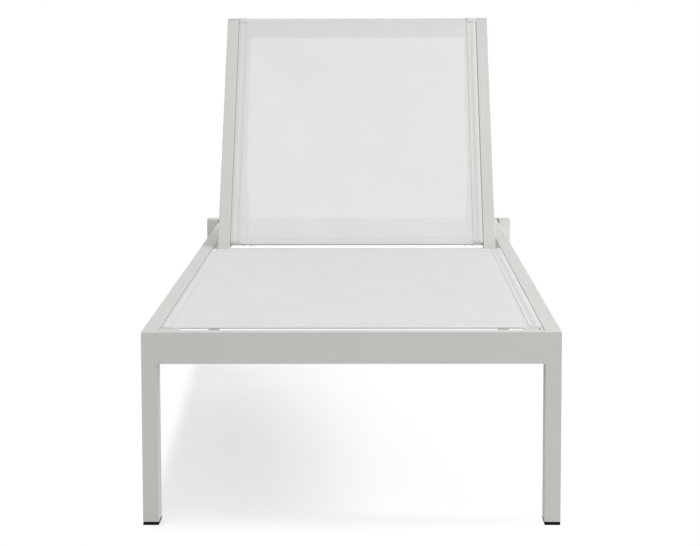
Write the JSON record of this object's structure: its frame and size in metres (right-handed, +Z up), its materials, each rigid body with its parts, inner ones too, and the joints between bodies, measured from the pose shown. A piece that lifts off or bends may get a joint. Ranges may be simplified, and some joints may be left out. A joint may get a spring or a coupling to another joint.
{
  "type": "sun lounger",
  "caption": "Low sun lounger with a straight tube frame, a stretched mesh seat and a reclining mesh back held by a swinging stay that stands on notched racks.",
  "frame": {"origin": "on the floor, under the middle of the lounger's length and width", "axes": "+X across the seat, +Y from the foot end to the head end, +Z up"},
  "size_m": [0.724, 1.96, 0.7875],
  "materials": {
    "frame_paint": "satin white powder coat on aluminium",
    "sling_mesh": "open weave of coated white yarn",
    "black_plastic": "matte moulded black",
    "grey_plastic": "matte moulded light grey",
    "bolt_steel": "brushed stainless steel"
  },
  "bodies": {
    "frame": {"side_rail_left": "frame_paint", "side_rail_right": "frame_paint", "front_leg_left": "frame_paint", "front_leg_right": "frame_paint", "rear_leg_left": "frame_paint", "rear_leg_right": "frame_paint", "rear_leg_top_plate_left": "frame_paint", "rear_leg_top_plate_right": "frame_paint", "front_beam": "frame_paint", "head_beam": "frame_paint", "under_brace_front": "frame_paint", "under_brace_rear": "frame_paint", "front_foot_cap_left": "black_plastic", "front_foot_cap_right": "black_plastic", "rear_foot_cap_left": "black_plastic", "rear_foot_cap_right": "black_plastic", "seat_side_bar_left": "frame_paint", "seat_side_bar_right": "frame_paint", "seat_crossbar_front": "frame_paint", "seat_crossbar_rear": "frame_paint", "seat_lug_left": "grey_plastic", "seat_lug_right": "grey_plastic", "seat_edge_cord_left": "grey_plastic", "seat_edge_cord_right": "grey_plastic", "seat_sling": "sling_mesh", "stay_rack_left": "frame_paint", "stay_rack_right": "frame_paint", "pivot_bush_left": "black_plastic", "pivot_bush_right": "black_plastic"},
    "backrest": {"back_tube_left": "frame_paint", "back_tube_right": "frame_paint", "back_plug_top_left": "grey_plastic", "back_plug_top_right": "grey_plastic", "back_plug_bottom_left": "grey_plastic", "back_plug_bottom_right": "grey_plastic", "back_bumper_left": "black_plastic", "back_bumper_right": "black_plastic", "back_side_bar_left": "frame_paint", "back_side_bar_right": "frame_paint", "back_edge_cord_left": "grey_plastic", "back_edge_cord_right": "grey_plastic", "back_crossbar": "frame_paint", "back_top_rod": "frame_paint", "back_sling": "sling_mesh", "hinge_tube": "frame_paint", "pivot_bolt_left": "bolt_steel", "pivot_bolt_right": "bolt_steel", "pivot_insert_left": "bolt_steel", "pivot_insert_right": "bolt_steel", "stay_bolt_left": "bolt_steel", "stay_bolt_right": "bolt_steel", "stay_spacer_left": "grey_plastic", "stay_spacer_right": "grey_plastic", "stay_nut_left": "bolt_steel", "stay_nut_right": "bolt_steel"},
    "stay": {"stay_arm_left": "frame_paint", "stay_arm_right": "frame_paint", "stay_foot_bar": "frame_paint", "stay_glide_left": "black_plastic", "stay_glide_right": "black_plastic"}
  },
  "joints": [
    {"name": "recline", "type": "hinge", "parent": "frame", "child": "backrest", "pos_m": [0, 0.3, 0.2955], "axis": [1, 0, 0], "range_deg": [-49.4, 20.6]},
    {"name": "stay_swing", "type": "hinge", "parent": "backrest", "child": "stay", "pos_m": [0, 0.4995, 0.51981], "axis": [1, 0, 0], "range_deg": [-40.1, 96.1]}
  ],
  "couplings": [
    {"joint": "stay_swing", "follows": "recline", "ratio": -1.944}
  ]
}
